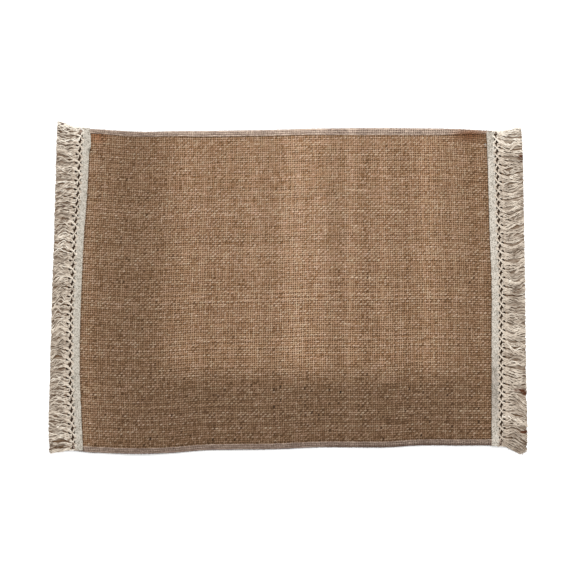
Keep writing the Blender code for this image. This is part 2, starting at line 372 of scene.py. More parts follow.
# Marks of colour: stains and knots, darker patches, and spots of painted shade.
Mark = namedtuple("Mark", "place radius length strength colour")
RUST_STAIN = Mark((-0.184, 0.147, 0.001), 0.014, 1.2, 0.80, (0.560, 0.240, 0.105, 1.0))
# A darker red-brown patch over the far right corner, on the cloth and on its thread.
DARK_RED_PATCH = Mark((0.175, 0.146, 0.001), 0.010, 2.7, 1.00, (0.350, 0.150, 0.066, 1.0))
KNOT_STAIN = Mark((-0.1917, 0.1317, 0.002), 0.0024, 1.0, 1.60, (0.060, 0.036, 0.020, 1.0))
PALE_KNOT = Mark((0.1905, 0.1371, 0.001), 0.0018, 1.0, 1.60, (0.950, 0.860, 0.760, 1.0))
DARK_KNOT = Mark((0.1908, 0.1343, 0.001), 0.0018, 1.0, 1.40, (0.100, 0.060, 0.030, 1.0))

# swing is how far a yarn rises and falls. crown and side are shades: a painted highlight on
# the crown and painted shade on the low sides. The last two say how much yarns differ in tone
# and in place.
YarnSet = namedtuple("YarnSet", "width swing crown side own_tone own_shift")
WARP = YarnSet(0.00172, 0.00036, 1.12, 0.55, 0.100, 0.00010)
WEFT = YarnSet(0.00184, 0.00044, 1.39, 0.87, 0.095, 0.00014)

# Painted light: a pool of light over the middle of the cloth, with soft stripes in it.
LightStripe = namedtuple("LightStripe", "x half_width strength")
LIGHT_STRIPES = tuple(LightStripe(*row) for row in (
    (-0.095, 0.011, 0.09),
    (-0.062, 0.007, 0.05),
    (-0.037, 0.009, 0.09),
    (0.007, 0.017, 0.28),
    (0.030, 0.008, 0.16),
    (0.061, 0.007, 0.14),
    (0.091, 0.007, 0.11),
    (0.133, 0.010, 0.13),
))
LIGHT_POOL_LEFT = (-0.154, -0.090)        # where each change starts and where it is complete
LIGHT_POOL_RIGHT = (0.210, 0.135)
LIGHT_POOL_NEAR = (-0.101, -0.066)
LEFT_SIDE = (-0.140, -0.190)
LEFT_TAPE_SIDE = (-0.180, -0.187)
RIGHT_TAPE_SIDE = (0.165, 0.184)
FAR_SIDE_Y = 0.15
LEAST_LIGHT = 0.615
LIGHT_POOL_GAIN = 0.285
FAR_GAIN = 0.05
LEFT_GAIN = 0.09
BESIDE_TAPE_GAIN = 0.085    # the cloth is lighter right beside the tapes


def ramp(edges, value):
    """0 at the first edge, 1 at the second, smooth between them."""
    share = (value - edges[0]) / (edges[1] - edges[0])
    share = min(max(share, 0.0), 1.0)
    return share * share * (3.0 - 2.0 * share)


@cache
def stripe_light(x):
    """How much lighter the painted stripes of light are at a place along the mat."""
    return sum(row.strength * math.exp(-((x - row.x) / row.half_width) ** 2)
               for row in LIGHT_STRIPES)


def painted_light(x, y):
    """How light the cloth is painted at a place, about 1 in the middle, under the pool of light.
    """
    lit = ramp(LIGHT_POOL_LEFT, x) * ramp(LIGHT_POOL_RIGHT, x) * ramp(LIGHT_POOL_NEAR, y)
    ends = FAR_GAIN * (y / FAR_SIDE_Y) + LEFT_GAIN * ramp(LEFT_SIDE, x)
    ends += BESIDE_TAPE_GAIN * (ramp(LEFT_TAPE_SIDE, x) + ramp(RIGHT_TAPE_SIDE, x))
    return LEAST_LIGHT + ends + lit * (LIGHT_POOL_GAIN + stripe_light(round(x, 4)))


def tubes(name, count, sides, stations, ring):
    """Closed tubes in one mesh: a grid cut into strips, each rolled up and capped.

    ring(tube, station) gives the corners there, each with its tone and its own relief.
    """
    bm = bmesh.new()
    tone_of = bm.verts.layers.float.new("tone")
    relief_of = bm.verts.layers.float.new("relief")
    columns = count * (sides + 1)
    bmesh.ops.create_grid(bm, x_segments=columns - 1, y_segments=stations - 1, size=1.0)
    corners = iter(list(bm.verts))
    for station in range(stations):
        for tube in range(count):
            section = ring(tube, station)
            for corner in range(sides + 1):
                vert = next(corners)
                vert.co, vert[tone_of], vert[relief_of] = section[corner % sides]
    joins = [face for index, face in enumerate(bm.faces)
             if index % (columns - 1) % (sides + 1) == sides]
    bmesh.ops.delete(bm, geom=joins, context="FACES")
    bmesh.ops.remove_doubles(bm, verts=bm.verts, dist=1.0e-7)
    ends = [edge for edge in bm.edges if edge.is_boundary]
    bmesh.ops.holes_fill(bm, edges=ends, sides=sides)
    return finished_piece(name, bm)


def yarn_character(count, kind, seed):
    """Each yarn's own width, tone, shift sideways and place in the noise."""
    chance = random.Random(seed)
    return [(chance.uniform(*YARN_WIDTHS), chance.gauss(1.0, kind.own_tone),
             chance.gauss(0.0, kind.own_shift), chance.uniform(0.0, NOISE_SPAN))
            for _ in range(count)]


def weave_ring(yarn, station, kind, character):
    """One section of a yarn where it crosses over or under the other set.

    It has two low sides and a crown, and is skewed by the twist. Its tones are painted: shade
    on the low sides, where the next yarns' shade falls, and on a yarn that goes under, and a
    highlight on the crown. Its relief is its painted shade beside its neighbours'; the painted
    light over the cloth moves that up or down.
    """
    own_width, own_tone, own_shift, own_place = character[yarn]
    is_weft = kind is WEFT
    column, row = (station, yarn) if is_weft else (yarn, station)
    s = (column + 0.5) / WARP_YARNS
    t = (row + 0.5) / WEFT_YARNS
    across = Vector((0.0, 1.0, 0.0)) if is_weft else Vector((1.0, 0.0, 0.0))
    skew = across.yxz * YARN_SKEW
    over = ((yarn + station) % 2 == 0) == is_weft
    slub = uneven(own_place, station * SLUB_RUN, 0.0)
    wander = uneven(own_place, station * WANDER_RUN, 7.0)
    fleck = uneven(own_place * FLECK_STRIDE, station * FLECK_RUN, 3.0)
    cloud = uneven(s * CLOUDS[0], t * CLOUDS[1], 8.0)
    centre = on_cloth(s, t) + across * (own_shift + YARN_WANDER * wander)
    shade = own_tone * (1.0 + SLUB_TONE * slub + CLOUD_TONE * cloud)
    # painted light where the yarn crosses over, painted shade where it goes under
    shade *= OVER_TONE if over else UNDER_TONE
    # painted light over the cloth
    lit = painted_light(centre.x, centre.y)
    contrast = WEAVE_CONTRAST
    left, right = short_edges_at(t)
    # painted shade on the cloth under the trim
    if min(centre.x - left, right - centre.x) < PANEL_REACH - TUCKED_MARGIN:
        lit *= UNDER_TRIM_SHADE
        contrast *= UNDER_TRIM_SHADE
    centre.z += kind.swing if over else -kind.swing
    swell = own_width * (1.0 + SLUB_WIDTH * slub) * (OVER_WIDTH if over else UNDER_WIDTH)
    side = across * (kind.width * swell / 2.0) + skew
    thickness = YARN_THICKNESS * (1.0 + SLUB_THICKNESS * slub)
    low = Vector((0.0, 0.0, -SIDE_DROP * thickness))
    crown = Vector((0.0, 0.0, CROWN_RISE * thickness))
    section = []
    # painted highlight on the crown, painted shade on the low sides
    for offset, part in ((low - side, kind.side), (crown, kind.crown), (low + side, kind.side)):
        relief = shade * part + CROSSING_TONE * fleck
        share = CROWN_SHARE if relief > 1.0 else PIT_SHARE - PIT_EASE * relief
        tone = lit + contrast * ((relief - 1.0) * share)
        section.append((centre + offset, max(tone, LEAST_TONE), relief))
    return section


def jute_finish(name, stretch):
    """Jute yarn, fibre-streaked: red-brown painted shade in the pits, straw painted light on
    crowns.
    """
    finish = Finish(name, 0.92)
    tone = finish.attribute("tone")
    relief = finish.attribute("relief")
    fibre = finish.grain(1.0, 3.0, stretch)
    patch = finish.grain(140.0, 1.0)
    level = tone * (0.42 + 0.34 * fibre) * (0.90 + 0.12 * relief)
    # painted shade turns the pits red-brown, painted light the crowns pale straw
    pale = relief * (0.46 + 0.40 * fibre) + 0.32 * tone - 0.40
    straw = finish.mix(patch, PINK_STRAW, GREEN_STRAW)
    shaded = finish.mix(pale, PIT_SHADE_BROWN, straw)
    for mark in (RUST_STAIN, DARK_RED_PATCH, KNOT_STAIN, PALE_KNOT, DARK_KNOT):
        shaded = finish.mix(finish.marked(mark), shaded, mark.colour)
    finish.coloured(finish.mix(level, BLACK, shaded))
    finish.relief(fibre, 0.00025)
    return finish.material


warp_character = yarn_character(WARP_YARNS, WARP, YARN_SEED)
weft_character = yarn_character(WEFT_YARNS, WEFT, YARN_SEED + 1)
warp_yarns = tubes("warp_yarns", WARP_YARNS, 3, WEFT_YARNS,
                   lambda yarn, station: weave_ring(yarn, station, WARP, warp_character))
weft_yarns = tubes("weft_yarns", WEFT_YARNS, 3, WARP_YARNS,
                   lambda yarn, station: weave_ring(yarn, station, WEFT, weft_character))
warp_yarns.data.materials.append(jute_finish("jute warp", WARP_FIBRES))
weft_yarns.data.materials.append(jute_finish("jute weft", WEFT_FIBRES))
for yarns in (warp_yarns, weft_yarns):
    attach(yarns, "root")

# ---- Overlock thread ---------------------------------------------------------------------
# Grey-mauve polyester thread over each long edge: a four-thread overlock with two rows of
# needle stitches, loopers that slant to and fro across the band, and a purl on the edge.
STITCH_PITCH = 0.0021
STITCHED_SPAN = (-0.2030, 0.2030)
THREADS_PER_STITCH = 5      # two loopers, two needle rows and last the purl
LOOPERS = 2
PURL = 4
THREAD_STATIONS = 8
THREAD_SEED = 23
NEAR_TONE = 0.70
FAR_TONE = 0.75
# inset from the edge, height in millimetres, and painted shade on the near and on the far edge:
# darker between the needle rows and out to the near edge, lighter out to the far edge
LOOPER_PATH = ((0.0050, 1.78, 1.08, 0.80), (0.0036, 2.02, 0.76, 0.78), (0.0018, 2.04, 0.80, 0.92),
               (0.0007, 1.84, 0.74, 1.06), (0.00015, 1.00, 0.62, 1.00), (0.0007, 0.26, 0.7, 0.7),
               (0.0022, 0.16, 0.7, 0.7), (0.0046, 0.16, 0.7, 0.7))
# inset, half width, height in millimetres, and how far along each row is staggered
NEEDLE_ROWS = ((0.0046, 0.00060, 2.16, 0.00), (0.0027, 0.00050, 2.22, 0.37))
PURL_ROW = (0.0009, 0.00062, 2.02, 0.70)
LOOPER_SLANT = 0.95
LOOPER_STEP = 0.06          # the second looper lies that far above the first, in millimetres
LOOPER_HALF_WIDTH = 0.00074
LOOPER_HALF_HEIGHT = 0.00014
NEEDLE_LENGTH = 0.98        # of the stitch pitch
NEEDLE_HALF_HEIGHT = 0.00022
STITCH_SINK = 0.24          # how deep the needle thread dips at each stitch, in millimetres
# Painted shade where the needle thread sinks at the ends of each stitch.
SUNK_TONE = 0.85
BOW_TONE = 0.20
UNDER_TAPE_X = 0.1925
UNDER_TAPE_RISE = 0.0007    # above the cloth's middle, where a tape presses the thread flat
STEEP = 0.2                 # a thread this near to upright has its section laid along X
THREAD_NUDGE = (0.00012, 0.00010)
THREAD_TONE_SPREAD = 0.15
NEEDLE_GAIN = 1.16
THREAD_PATCHES = 90.0       # per metre
THREAD_PATCH_TONE = 0.50
THREAD_LIT = 0.9          # the cloth's painted light where the thread has its full tone
THREAD_TONES = (0.8, 1.08)  # painted shade under a thread and painted light on top of it
THREAD_SHADE = (0.030, 0.006, 0.0, 1.0)
MAUVE = (0.560, 0.430, 0.340, 1.0)
PALE_MAUVE = (0.600, 0.470, 0.375, 1.0)

# share widens the band; purl is the purl's tone, with painted shade on the near edge's right.
BandStation = namedtuple("BandStation", "x share purl")
NEAR_BAND = tuple(BandStation(*row) for row in (
    (-0.200, 1.00, 0.92),
    (0.020, 1.00, 0.84),
    (0.060, 1.02, 0.30),
    (0.200, 1.08, 0.24),
))
FAR_BAND = tuple(BandStation(*row) for row in (
    (-0.200, 0.75, 0.95),
    (-0.178, 0.84, 1.00),
    (-0.150, 0.88, 1.10),
    (-0.110, 0.95, 1.10),
    (-0.085, 1.10, 1.10),
    (0.020, 1.16, 1.10),
    (0.060, 1.32, 1.10),
    (0.120, 1.34, 1.05),
    (0.150, 1.20, 0.95),
    (0.172, 0.82, 0.90),
    (0.186, 0.55, 0.80),
    (0.200, 0.50, 0.70),
))


def band_point(far_side, x, inset, height_mm):
    """A point of the overlock band, by its distance in from the edge and its height."""
    band = FAR_BAND if far_side else NEAR_BAND
    share = station_value(band, "share", x)
    if far_side:
        y = station_value(LONG_EDGES, "far_y", x) - inset * share
        rise = 0.0
    else:
        y = station_value(LONG_EDGES, "near_y", x) + inset * share
        rise = max(station_value(LONG_EDGES, "near_lift", x), 0.0)
    height = height_mm * 0.001
    if abs(x) > UNDER_TAPE_X:
        height = min(height, CLOTH_MIDDLE_Z + UNDER_TAPE_RISE)
    return Vector((x, y, height + rise + ripple_height(x, y)))


def oval_ring(centre, forward, half_width, half_height, sides, tones):
    """An oval section square to the thread's run, from its underside round."""
    forward = forward.normalized()
    aside = Vector((forward.y, -forward.x, 0.0))
    if aside.length < STEEP:
        aside = Vector((1.0, 0.0, 0.0))
    aside.normalize()
    upward = aside.cross(forward)
    section = []
    for corner in range(sides):
        angle = math.tau * (corner / sides) - math.pi / 2.0
        offset = aside * (half_width * math.cos(angle))
        offset += upward * (half_height * math.sin(angle))
        # painted shade on the underside, painted light on top
        tone = tones[0] + (tones[1] - tones[0]) * (0.5 + 0.5 * math.sin(angle))
        section.append((centre + offset, tone, corner / sides))
    return section


def thread_tubes(name, paths, sides, tones):
    """Threads along paths of (point, half width, half height, tone).

    tones are the shares of a thread's tone on its underside and on top: painted shade and light.
    """
    def ring(tube, station):
        path = paths[tube]
        point, half_width, half_height, tone = path[station]
        before = path[max(station - 1, 0)][0]
        after = path[min(station + 1, len(path) - 1)][0]
        return oval_ring(point, after - before, half_width, half_height, sides,
                         (tone * tones[0], tone * tones[1]))

    return tubes(name, len(paths), sides, len(paths[0]), ring)


def stitch_path(far_side, stitch, part):
    """One thread of one stitch: its points with their shades, half width and half height."""
    x = STITCHED_SPAN[0] + (stitch + 0.5) * STITCH_PITCH
    last = THREAD_STATIONS - 1
    points = []
    if part < LOOPERS:
        slant = LOOPER_SLANT if part == 0 else -LOOPER_SLANT
        start = x + STITCH_PITCH * 0.5 * part
        for step, (inset, height, *shades) in enumerate(LOOPER_PATH):
            shift = slant * STITCH_PITCH * (0.5 - step / last)
            point = band_point(far_side, start + shift, inset, height + LOOPER_STEP * part)
            points.append((point, shades[far_side]))
        return points, LOOPER_HALF_WIDTH, LOOPER_HALF_HEIGHT
    row = PURL_ROW if part == PURL else NEEDLE_ROWS[part - LOOPERS]
    inset, half_width, height, stagger = row
    for step in range(THREAD_STATIONS):
        share = step / last
        bow = math.sin(math.pi * share) ** 0.5 if 0 < step < last else 0.0
        at = x + STITCH_PITCH * (NEEDLE_LENGTH * (share - 0.5) + stagger)
        # painted shade where the thread sinks
        points.append((band_point(far_side, at, inset, height - STITCH_SINK * (1.0 - bow)),
                       SUNK_TONE + BOW_TONE * bow))
    return points, half_width, NEEDLE_HALF_HEIGHT


def overlock(name, far_side):
    """All the threads of one long edge."""
    band = FAR_BAND if far_side else NEAR_BAND
    stitches = int((STITCHED_SPAN[1] - STITCHED_SPAN[0]) / STITCH_PITCH)
    chance = random.Random(THREAD_SEED)
    paths = []
    for stitch in range(stitches):
        for part in range(THREADS_PER_STITCH):
            points, half_width, half_height = stitch_path(far_side, stitch, part)
            nudge = Vector((chance.gauss(0.0, THREAD_NUDGE[0]),
                            chance.gauss(0.0, THREAD_NUDGE[1]), 0.0))
            first = points[0][0]
            tone = chance.gauss(1.0, THREAD_TONE_SPREAD) * (1.0 if part < LOOPERS else NEEDLE_GAIN)
            # the purl's tone, with painted shade along the near edge
            if part == PURL:
                tone *= station_value(band, "purl", first.x)
            patch = uneven(first.x * THREAD_PATCHES, part * 3.0, 1.0)
            tone *= 1.0 + THREAD_PATCH_TONE * patch
            # the thread takes the cloth's painted light too
            tone *= painted_light(first.x, first.y) / THREAD_LIT * (FAR_TONE if far_side else NEAR_TONE)
            paths.append([(point + nudge, half_width, half_height, shade * tone)
                          for point, shade in points])
    return thread_tubes(name, paths, 4, THREAD_TONES)


thread_finish = Finish("overlock thread", 0.7)
thread_level = thread_finish.attribute("tone") * (0.50 + 0.36 * thread_finish.grain(1400.0, 2.0))
thread_colour = thread_finish.mix(thread_finish.grain(60.0, 1.0), MAUVE, PALE_MAUVE)
thread_colour = thread_finish.mix(thread_finish.marked(DARK_RED_PATCH), thread_colour,
                                  DARK_RED_PATCH.colour)
thread_finish.coloured(thread_finish.mix(thread_level, THREAD_SHADE, thread_colour))
overlock_near = overlock("overlock_near", False)
overlock_far = overlock("overlock_far", True)
for edging in (overlock_near, overlock_far):
    edging.data.materials.append(thread_finish.material)
    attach(edging, "root")

# ---- Trim tapes --------------------------------------------------------------------------
# Each trim is headed by a narrow woven cotton tape, sewn down over the cloth's short end by
# a row of lockstitch near each side. Its outer side dips in behind every crossing.
TRIM_REPEATS = 36
TRIM_PITCH = 0.0086
TRIM_LENGTH = TRIM_REPEATS * TRIM_PITCH
FRINGE_ROOT = 0.0146
LEAN_POWER = 1.4
LEAN_GAIN = 1.25
TRIM_SWAY = 0.0007          # the fringe's soft waves: their size, length and slant
SWAY_REPEATS = 5.3
SWAY_TURN = 4.0
TAPE_MEAN_WIDTH = 0.0070
TAPE_DIP = 0.0002
TAPE_UNDERSIDE = 0.00196
TAPE_THICKNESS = 0.00074
TAPE_COLUMNS = 16
TAPE_END_MARGIN = 0.0006
TAPE_ROWS = 560
EDGE_REACH = 0.0006         # how far the inner edge is rounded off
EDGE_DROP = 0.00025
SELVEDGE_U = 0.0011
SELVEDGE_HALF_WIDTH = 0.0006
SELVEDGE_RISE = 0.00018
RIB_PITCHES = (0.0012, 0.0011)      # across the tape and along it
RIB_RISE = 0.00006
PUCKERS = (300.0, 160.0)    # per metre
PUCKER_RISE = 0.00012
STITCH_ROWS_U = (0.0010, 0.0058)
STITCH_ROW_HALF_WIDTH = 0.00035
TAPE_STITCH_PITCH = 0.0026
TAPE_STITCH_DEPTH = 0.00012
INNER_WANDER = 0.00040      # long waves in the inner side, and short ones
INNER_WANDERS = 200.0       # per metre
INNER_SNAG = 0.00016
INNER_SNAGS = 900.0
TAPE_SHADE = (0.170, 0.150, 0.120, 1.0)
TAPE_WEAVE = (900.0, 900.0, 300.0)

# A cut end of a trim: its bare margin, how far the strands lean and how late on their way
# out, how far they are cut back, and how pale they are.
TrimEnd = namedtuple("TrimEnd", "margin lean power cut tone")
# longer is added to the fringe; carry_kept is the share of CARRY that is left at its tips.
Trim = namedtuple(
    "Trim", "hand side stations colour longer tone_spread carry_kept first_end last_end")
# colour is the tape's cream; the right tape's colour is painted lighter, for the stronger light on
# its side.
LEFT = Trim("left", -1.0, LEFT_TRIM, (0.440, 0.404, 0.348, 1.0), -0.0001, 0.38, 0.1,
            TrimEnd(0.0004, 0.0013, 0.3, 0.03, 2.0), TrimEnd(0.0012, -0.0020, 1.4, 0.05, 1.0))
RIGHT = Trim("right", 1.0, RIGHT_TRIM, (0.496, 0.453, 0.393, 1.0), 0.0008, 0.24, 1.0,
             TrimEnd(0.0007, -0.0066, 0.6, 0.36, 0.66), TrimEnd(0.0005, 0.0017, 0.5, 0.05, 2.4))
# Darker, greyer patches on the right tape: at its far end, and a broad one towards its near end.
TAPE_DARK_PATCHES = (
    Mark((0.196, 0.1424, 0.002), 0.016, 1.0, 0.6, (0.350, 0.310, 0.262, 1.0)),
    Mark((0.196, -0.1010, 0.002), 0.045, 1.0, 1.2, (0.400, 0.352, 0.306, 1.0)),
)
TAPE_DARKENING = 0.30            # how far the flecks darken in these patches
TapeBulge = namedtuple("TapeBulge", "hand v half_length depth")
TAPE_BULGE = TapeBulge("left", 0.0150, 0.0078, 0.0013)      # where the tape was caught askew


def on_trim(trim, reach, u, v):
    """A point of a trim laid on the cloth: u out from the tape's inner edge, v along.

    Past the fringe's root, reach is the share of the way out to the cut tips.
    """
    near = trim.stations[0].y
    far = trim.stations[-1].y
    share = v / TRIM_LENGTH if trim.side > 0.0 else 1.0 - v / TRIM_LENGTH
    y = near + (far - near) * share
    tape_x = station_value(trim.stations, "tape_x", y)
    if reach <= 0.0:
        return Vector((trim.side * (tape_x + u), y, 0.0))
    tip_x = station_value(trim.stations, "tip_x", y) + trim.longer
    x = tape_x + FRINGE_ROOT + reach * (tip_x - tape_x - FRINGE_ROOT)
    turn = math.tau * v / TRIM_PITCH / SWAY_REPEATS + SWAY_TURN * reach
    y += LEAN_GAIN * station_value(trim.stations, "lean", y) * reach ** LEAN_POWER
    return Vector((trim.side * x, y + TRIM_SWAY * reach * math.sin(turn), 0.0))


def tape_height(u, v, seed):
    """Relief of the tape: the bead along its inner side, its ribs and the sunk stitches."""
    bead = SELVEDGE_RISE * math.exp(-((u - SELVEDGE_U) / SELVEDGE_HALF_WIDTH) ** 2)
    rib = RIB_RISE * math.sin(math.tau * v / RIB_PITCHES[1])
    rib *= math.sin(math.tau * u / RIB_PITCHES[0])
    pucker = PUCKER_RISE * uneven(u * PUCKERS[0], v * PUCKERS[1], seed)
    sunk = sum(math.exp(-((u - row) / STITCH_ROW_HALF_WIDTH) ** 2) for row in STITCH_ROWS_U)
    sunk *= TAPE_STITCH_DEPTH * (0.5 - 0.5 * math.cos(math.tau * v / TAPE_STITCH_PITCH))
    return bead + rib + pucker - sunk - EDGE_DROP * (1.0 - min(u, EDGE_REACH) / EDGE_REACH)


def make_tape(trim):
    """A trim's tape, with its slightly uneven inner side and dipped outer side."""
    def place(s, t, is_top):
        v = TAPE_END_MARGIN + t * (TRIM_LENGTH - 2.0 * TAPE_END_MARGIN)
        outer = TAPE_MEAN_WIDTH - TAPE_DIP * math.cos(math.tau * v / TRIM_PITCH)
        inner = INNER_WANDER * uneven(v * INNER_WANDERS, trim.side, 5.0)
        inner += INNER_SNAG * uneven(v * INNER_SNAGS, trim.side, 6.0)
        if trim.hand == TAPE_BULGE.hand:
            off = (v - TAPE_BULGE.v) / TAPE_BULGE.half_length
            inner -= TAPE_BULGE.depth * math.exp(-off ** 4)
        u = inner + (outer - inner) * s
        point = on_trim(trim, 0.0, u, v)
        point.z = TAPE_UNDERSIDE
        if is_top:
            point.z += TAPE_THICKNESS + tape_height(max(u, 0.0), v, trim.side * 3.0)
        return point

    return sheet_solid("tape_" + trim.hand, TAPE_COLUMNS, TAPE_ROWS, place)


def tape_finish(name, colour):
    """Plain-woven cotton: pale, with fine dark flecks between its yarns."""
    finish = Finish(name, 0.88)
    weave = finish.grain(1.0, 3.0, TAPE_WEAVE)
    cloud = finish.grain(260.0, 2.0)
    level = 0.77 + 4.0 * (weave - 0.52) + 1.5 * (cloud - 0.5)
    level = level - finish.marked(KNOT_STAIN)
    for mark in TAPE_DARK_PATCHES:
        darkened = finish.marked(mark)
        level = level - darkened * TAPE_DARKENING
        colour = finish.mix(darkened, colour, mark.colour)
    finish.coloured(finish.mix(level, TAPE_SHADE, colour))
    finish.relief(weave, 0.0003)
    return finish.material


for trim in (LEFT, RIGHT):
    tape = make_tape(trim)
    tape.data.materials.append(tape_finish("cotton tape " + trim.hand, trim.colour))
    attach(tape, "root")

# ---- Crossed cords and fringe ------------------------------------------------------------
# Loose two-ply cotton yarns leave the tape in threes, cross over the next three in a row of
# knots, part round slanting gaps and hang out as a cut fringe. A lower layer of the same
# yarn lies under them on the table.
StrandPoint = namedtuple("StrandPoint", "order u v z")   # mm, with v from the crossing
OVER_STRANDS = (
    ((5.4, 2.6, 2.40), (6.7, 2.4, 2.75), (7.9, 1.0, 3.05), (9.0, -0.45, 3.12),
     (9.95, -1.15, 3.00), (10.6, -2.2, 2.80), (11.8, -2.95, 2.55), (14.6, -3.6, 2.35)),
    ((5.4, 3.2, 2.40), (6.7, 2.75, 2.75), (7.8, 1.25, 3.05), (9.0, -0.05, 3.20),
     (10.2, -0.75, 3.05), (11.4, -1.65, 2.80), (12.9, -2.4, 2.55), (14.6, -2.7, 2.35)),
    ((5.4, 3.8, 2.40), (7.25, 3.4, 2.75), (8.2, 1.6, 3.05), (9.0, 0.35, 3.12),
     (10.2, -0.1, 3.00), (11.5, -0.85, 2.80), (13.2, -1.6, 2.55), (14.6, -1.7, 2.35)),
)
UNDER_STRANDS = (
    ((5.4, -2.6, 2.30), (6.7, -2.5, 2.30), (7.9, -1.0, 2.25), (9.0, 0.30, 2.25),
     (10.0, 1.1, 2.30), (11.1, 2.0, 2.35), (12.8, 1.75, 2.35), (14.6, 1.1, 2.30)),
    ((5.4, -3.2, 2.30), (6.7, -2.9, 2.30), (7.9, -1.4, 2.25), (9.0, -0.2, 2.25),
     (9.75, 1.1, 2.30), (10.5, 2.8, 2.35), (12.0, 3.2, 2.35), (14.6, 2.6, 2.30)),
    ((5.4, -3.8, 2.30), (7.3, -3.6, 2.30), (8.25, -1.8, 2.25), (8.9, -0.50, 2.25),
     (9.4, 0.9, 2.30), (9.8, 3.0, 2.35), (10.8, 4.6, 2.35), (14.6, 4.2, 2.30)),
)
STRANDS = tuple(
    tuple(StrandPoint(order, *row) for order, row in enumerate(rows))
    for rows in OVER_STRANDS + UNDER_STRANDS
)
TUFT_V = (-3.3, -2.4, -1.5, 1.5, 2.5, 3.6)      # where each lies once out in the fringe, mm
TUFTED = (0.0, 0.45)        # shares of the way out between which they get there
END_HOLD_DEPTH = 0.0100     # how far in from a cut end strands are held, cut, fanned or pale
END_CUT_DEPTH = 0.0065
END_LEAN_DEPTH = 0.0130
END_TONE_DEPTH = 0.0200
OwnStrand = namedtuple("OwnStrand", "place length drift lift turn size tones")
SettlePoint = namedtuple("SettlePoint", "reach top low")
SETTLING = tuple(SettlePoint(*row) for row in (     # height of either layer's middle, mm
    (0.00, 2.32, 1.70),
    (0.12, 2.00, 0.90),
    (0.30, 1.55, 0.50),
    (0.60, 1.20, 0.42),
    (1.00, 1.02, 0.38),
))
OPENWORK_STATIONS = 22
FRINGE_STATIONS = 20
FRINGE_SEED = 31
STRAND_TURN = 0.0062        # run of one full twist
STRAND_SIZES = (0.88, 1.14)
STRAND_TONES = (0.50, 1.14)         # painted shade under a strand and painted light on top of it
UPPER_CUT = 0.03            # share of the length by which tips are cut unevenly
PLY_HALF_WIDTH = 0.00043
PLY_HALF_HEIGHT = 0.00038
PLY_RADIUS = 0.00030        # of each ply's turn about its partner
PLY_FLATNESS = 0.8
PLY_SPREAD = 0.00075        # how far the plies have parted at the tip
PLY_WANDER = 1.2
PLY_WANDERS = 2.6           # along a strand
TIP_TAPER = 0.25
TAPER_START = 0.8
TAPER_RUN = 0.2
KNOT_STATION = 9.0
KNOT_REACH = 5.0
KNOT_TIGHTNESS = 0.42
HIGHLIGHT_REACH = 2.5
KNOT_HIGHLIGHT = 0.45             # painted highlight: how much paler the knots are where they stand highest
OPENWORK_TONE = 1.14
FRINGE_SHADE = 0.18         # how much darker the strands are past the root
PATCH_TONE = 0.85
PATCHES = (90.0, 130.0)     # per metre along X and Y
SMALL_PATCHES = (330.0, 560.0)
SMALL_PATCH_SHARE = 0.6
DRIFT = 0.0038              # how far neighbours stray together
DRIFTS_BESIDE = 120.0       # per metre of trim
DRIFTS_ALONG = 1.5
CRIMP = 0.00060
CRIMPS_ALONG = 6.0
CARRY = 0.0011              # how far strands carry on past their slant
CARRY_REACH = 0.5
# How far a strand drifts alone, how high its tip lies in millimetres, and how pale it is.
Lie = namedtuple("Lie", "drift lift tone")
USUAL = Lie(0.0022, (-0.20, 0.20), 0.96)
STRAY = Lie(0.0062, (0.30, 0.60), 1.10)
STRAYS = 0.34               # share of strands that lie across others
LOWER_PER_REPEAT = 7
LOWER_STATIONS = 16
LOWER_DRIFT = 0.08
LOWER_CUT = 0.05
LOWER_HALF_WIDTH = 0.00085
LOWER_HALF_HEIGHT = 0.00034
LOWER_TONE = 0.34
LOWER_TONE_SPREAD = 0.20
LOWER_LEAST_TONE = 0.06
LOWER_PATCH_TONE = 1.1
LOWER_PATCHES = (220.0, 560.0)
TUCKED_STATIONS = 3         # how many of a lower strand's lie under the openwork
TUCK = 0.0016
END_TUCK = 0.0040
TUCK_Z = 0.0022
YARN_STREAKS = (240.0, 1000.0, 400.0)
YARN_SHADE = (0.080, 0.036, 0.010, 1.0)
CREAM = (0.560, 0.485, 0.400, 1.0)
# Pale cream is the painted highlight on the brightest strands, chiefly at the knots.
PALE_CREAM = (0.760, 0.700, 0.610, 1.0)
PALE_FROM = 1.22
# Painted shade: dark red-brown spots where the fringe parts, for the gaps between strands.
GAP_SHADE = (0.082, 0.028, 0.011, 1.0)
GAP_SHADE_Z = 0.001
SHADED_GAPS = tuple(
    Mark((x, y, GAP_SHADE_Z), radius, length, strength, GAP_SHADE)
    for x, y, radius, length, strength in (
        (0.2154, -0.0988, 0.0030, 1.4, 1.0),
        (0.2191, -0.0985, 0.0022, 1.6, 1.6),
        (0.2216, -0.0993, 0.0029, 1.6, 1.9),
        (0.2243, -0.1016, 0.0034, 1.3, 1.9),
        (0.2225, -0.1378, 0.0021, 2.6, 2.0),
        (0.2245, 0.1254, 0.0027, 1.6, 1.8),
        (0.2250, 0.1204, 0.0012, 1.3, 1.5),
        (0.2243, 0.1127, 0.0012, 1.3, 1.2),
        (0.2190, 0.1260, 0.0012, 2.5, 1.5),
        (-0.2157, 0.0771, 0.0017, 2.4, 1.8),
        (-0.2183, 0.1572, 0.0018, 1.5, 1.6),
        (-0.2196, 0.0916, 0.0016, 2.6, 1.0),
    )
)


def from_trim_end(trim, v):
    """The nearer cut end of the trim, and how far off it is."""
    if v < TRIM_LENGTH / 2.0:
        return trim.first_end, v
    return trim.last_end, TRIM_LENGTH - v


